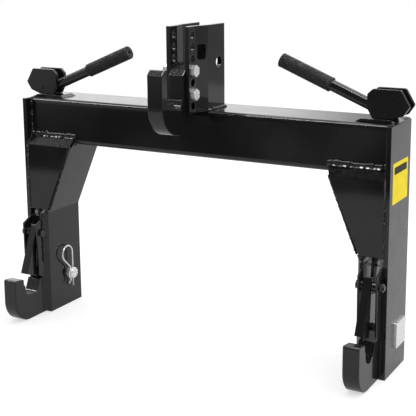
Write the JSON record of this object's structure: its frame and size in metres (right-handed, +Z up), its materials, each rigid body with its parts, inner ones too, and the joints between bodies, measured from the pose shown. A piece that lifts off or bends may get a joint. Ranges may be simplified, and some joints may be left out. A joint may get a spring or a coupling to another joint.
{
  "type": "three point quick hitch",
  "caption": "Quick hitch frame for a compact tractor: hooks on a mast and two legs take an implement, and hand levers swing the latches of the lower hooks.",
  "frame": {"origin": "middle of the footprint's box on the floor that the legs stand on", "axes": "+X to the hitch's right seen from the implement's side, +Y towards the tractor, +Z up"},
  "size_m": [0.7646, 0.226, 0.568],
  "materials": {
    "black_paint": "gloss black enamel",
    "hook_paint": "satin black over a cast surface",
    "zinc": "bright zinc plate",
    "clip_steel": "bright spring wire",
    "spring_steel": "oiled spring wire",
    "grip_rubber": "matte dark grey rubber",
    "yellow_decal": "plain printed film"
  },
  "bodies": {
    "frame": {"top_beam": "black_paint", "left_beam_cap": "black_paint", "left_outer_plate": "black_paint", "left_inner_plate": "black_paint", "left_cover_plate": "black_paint", "left_lower_hook": "hook_paint", "left_cheek_outer": "black_paint", "left_cheek_inner": "black_paint", "left_latch_bolt": "black_paint", "left_latch_nut": "black_paint", "left_latch_spacers": "zinc", "left_lever_base": "black_paint", "left_link_pin": "zinc", "left_r_clip": "clip_steel", "left_spring": "spring_steel", "left_mast_plate": "black_paint", "right_beam_cap": "black_paint", "right_outer_plate": "black_paint", "right_inner_plate": "black_paint", "right_cover_plate": "black_paint", "right_lower_hook": "hook_paint", "right_cheek_outer": "black_paint", "right_cheek_inner": "black_paint", "right_latch_bolt": "black_paint", "right_latch_nut": "black_paint", "right_latch_spacers": "zinc", "right_lever_base": "black_paint", "right_link_pin": "zinc", "right_r_clip": "clip_steel", "right_spring": "spring_steel", "right_mast_plate": "black_paint", "top_hook": "hook_paint", "mast_bolts": "zinc", "mast_nuts": "zinc"},
    "left_rod": {"left_pull_rod": "black_paint", "left_rod_link": "black_paint", "left_link_bolt": "zinc", "left_link_nut": "zinc"},
    "left_lever": {"left_cam_front": "black_paint", "left_cam_rear": "black_paint", "left_lever_bar": "black_paint", "left_grip": "grip_rubber", "left_lever_pin": "black_paint"},
    "left_latch": {"left_latch": "black_paint", "left_latch_pin": "zinc"},
    "right_rod": {"right_pull_rod": "black_paint", "right_rod_link": "black_paint", "right_link_bolt": "zinc", "right_link_nut": "zinc"},
    "right_lever": {"right_cam_front": "black_paint", "right_cam_rear": "black_paint", "right_lever_bar": "black_paint", "right_grip": "grip_rubber", "right_lever_pin": "black_paint"},
    "right_latch": {"right_latch": "black_paint", "right_latch_pin": "zinc"}
  },
  "joints": [
    {"name": "left_rod_lift", "type": "slide", "parent": "frame", "child": "left_rod", "axis": [0, 0.1478, 0.989], "range_m": [0, 0.017], "deforming": ["left_spring"]},
    {"name": "left_lever_turn", "type": "hinge", "parent": "left_rod", "child": "left_lever", "pos_m": [-0.3415, 0.04484, 0.4373], "axis": [0, -1, 0], "range_deg": [0, 56]},
    {"name": "left_latch_swing", "type": "hinge", "parent": "frame", "child": "left_latch", "pos_m": [-0.339, -0.019, 0.162], "axis": [1, 0, 0], "range_deg": [0, 41.49]},
    {"name": "right_rod_lift", "type": "slide", "parent": "frame", "child": "right_rod", "axis": [0, 0.1478, 0.989], "range_m": [0, 0.017], "deforming": ["right_spring"]},
    {"name": "right_lever_turn", "type": "hinge", "parent": "right_rod", "child": "right_lever", "pos_m": [0.3415, 0.04484, 0.4373], "axis": [0, 1, 0], "range_deg": [0, 56]},
    {"name": "right_latch_swing", "type": "hinge", "parent": "frame", "child": "right_latch", "pos_m": [0.339, -0.019, 0.162], "axis": [1, 0, 0], "range_deg": [0, 41.49]}
  ],
  "couplings": [
    {"joint": "left_rod_lift", "follows": "left_lever_turn", "m_per_rad": 0.017393},
    {"joint": "left_latch_swing", "follows": "left_lever_turn", "ratio": 0.7408},
    {"joint": "right_rod_lift", "follows": "right_lever_turn", "m_per_rad": 0.017393},
    {"joint": "right_latch_swing", "follows": "right_lever_turn", "ratio": 0.7408}
  ]
}
